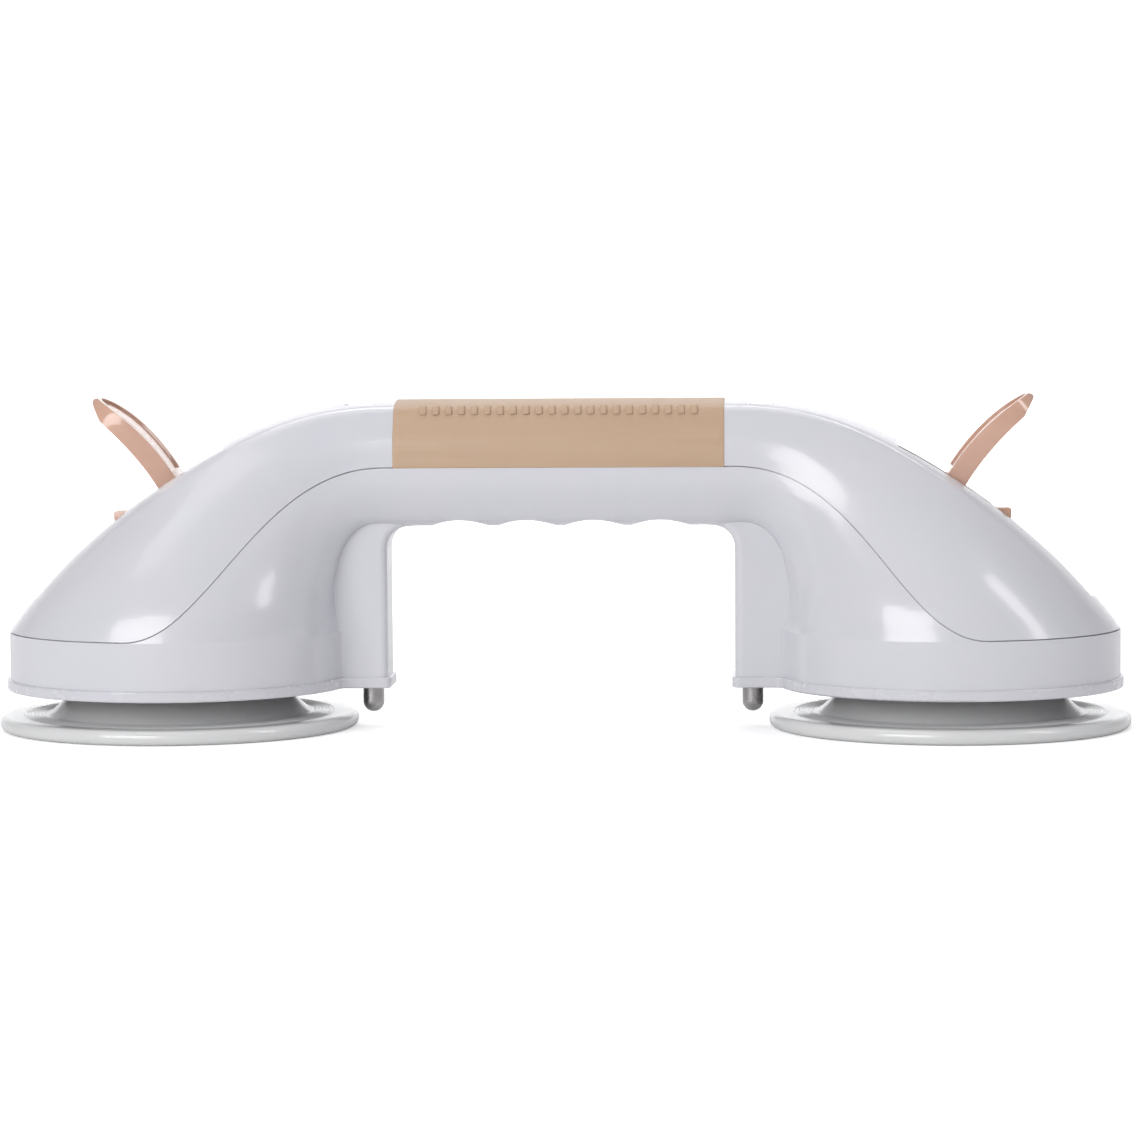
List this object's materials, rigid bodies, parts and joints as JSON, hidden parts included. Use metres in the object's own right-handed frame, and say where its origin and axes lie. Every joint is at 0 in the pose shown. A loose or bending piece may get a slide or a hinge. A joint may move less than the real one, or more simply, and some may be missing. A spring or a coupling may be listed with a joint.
{
  "type": "suction grab bar",
  "caption": "Arched plastic grab bar on lever-locked suction cups, with soft grip cover, sprung vacuum-indicator pins and finger-grooved handle.",
  "frame": {"origin": "middle of the plane on which the two suction cups rest, halfway between the cups", "axes": "+X along the bar, +Z away from the wall or table, +Y across the bar"},
  "size_m": [0.305, 0.0968, 0.0893],
  "materials": {
    "shell_gloss": "glossy white ABS with a faint cool tint",
    "grip_tan": "soft-touch tan elastomer, fine satin grain",
    "plate_white": "glossy white ABS",
    "saddle_grey": "hard acetal wear plate",
    "cup_rubber": "translucent white PVC rubber, smooth",
    "stem_white": "glass-filled nylon",
    "lever_peach": "glossy peach ABS",
    "steel": "turned stainless steel",
    "flag_colour": "green indicator block",
    "window_clear": "clear moulded lens"
  },
  "bodies": {
    "housing": {"upper_shell": "shell_gloss", "lower_shell": "shell_gloss", "grip_cover": "grip_tan", "base_plate_left": "plate_white", "base_plate_right": "plate_white", "base_screws_left": "steel", "base_screws_right": "steel", "cam_saddle_left": "saddle_grey", "cam_saddle_right": "saddle_grey", "indicator_spring_left": "steel", "indicator_spring_right": "steel", "indicator_window_left": "window_clear", "indicator_window_right": "window_clear"},
    "stem_left": {"suction_cup_left": "cup_rubber", "cup_stem_left": "stem_white", "pivot_pin_left": "steel"},
    "stem_right": {"suction_cup_right": "cup_rubber", "cup_stem_right": "stem_white", "pivot_pin_right": "steel"},
    "lever_arm_left": {"lever_left": "lever_peach"},
    "lever_arm_right": {"lever_right": "lever_peach"},
    "indicator_left": {"indicator_pin_left": "steel", "pin_collar_left": "steel", "indicator_flag_left": "flag_colour"},
    "indicator_right": {"indicator_pin_right": "steel", "pin_collar_right": "steel", "indicator_flag_right": "flag_colour"}
  },
  "joints": [
    {"name": "cup_lift_right", "type": "slide", "parent": "housing", "child": "stem_right", "axis": [0, 0, 1], "range_m": [0, 0.007]},
    {"name": "lever_turn_right", "type": "hinge", "parent": "stem_right", "child": "lever_arm_right", "pos_m": [0.1041, 0, 0.054], "axis": [0, 1, 0], "range_deg": [0, 90]},
    {"name": "cup_lift_left", "type": "slide", "parent": "housing", "child": "stem_left", "axis": [0, 0, 1], "range_m": [0, 0.007]},
    {"name": "lever_turn_left", "type": "hinge", "parent": "stem_left", "child": "lever_arm_left", "pos_m": [-0.1041, 0, 0.054], "axis": [0, -1, 0], "range_deg": [0, 90]},
    {"name": "indicator_push_right", "type": "slide", "parent": "housing", "child": "indicator_right", "axis": [0, 0, 1], "range_m": [0, 0.007], "stiffness_N_per_m": 250, "springref_m": -0.004, "deforming": ["indicator_spring_right"]},
    {"name": "indicator_push_left", "type": "slide", "parent": "housing", "child": "indicator_left", "axis": [0, 0, 1], "range_m": [0, 0.007], "stiffness_N_per_m": 250, "springref_m": -0.004, "deforming": ["indicator_spring_left"]}
  ],
  "couplings": [
    {"joint": "lever_turn_right", "follows": "cup_lift_right", "rad_per_m": 224.4},
    {"joint": "lever_turn_left", "follows": "cup_lift_left", "rad_per_m": 224.4}
  ]
}
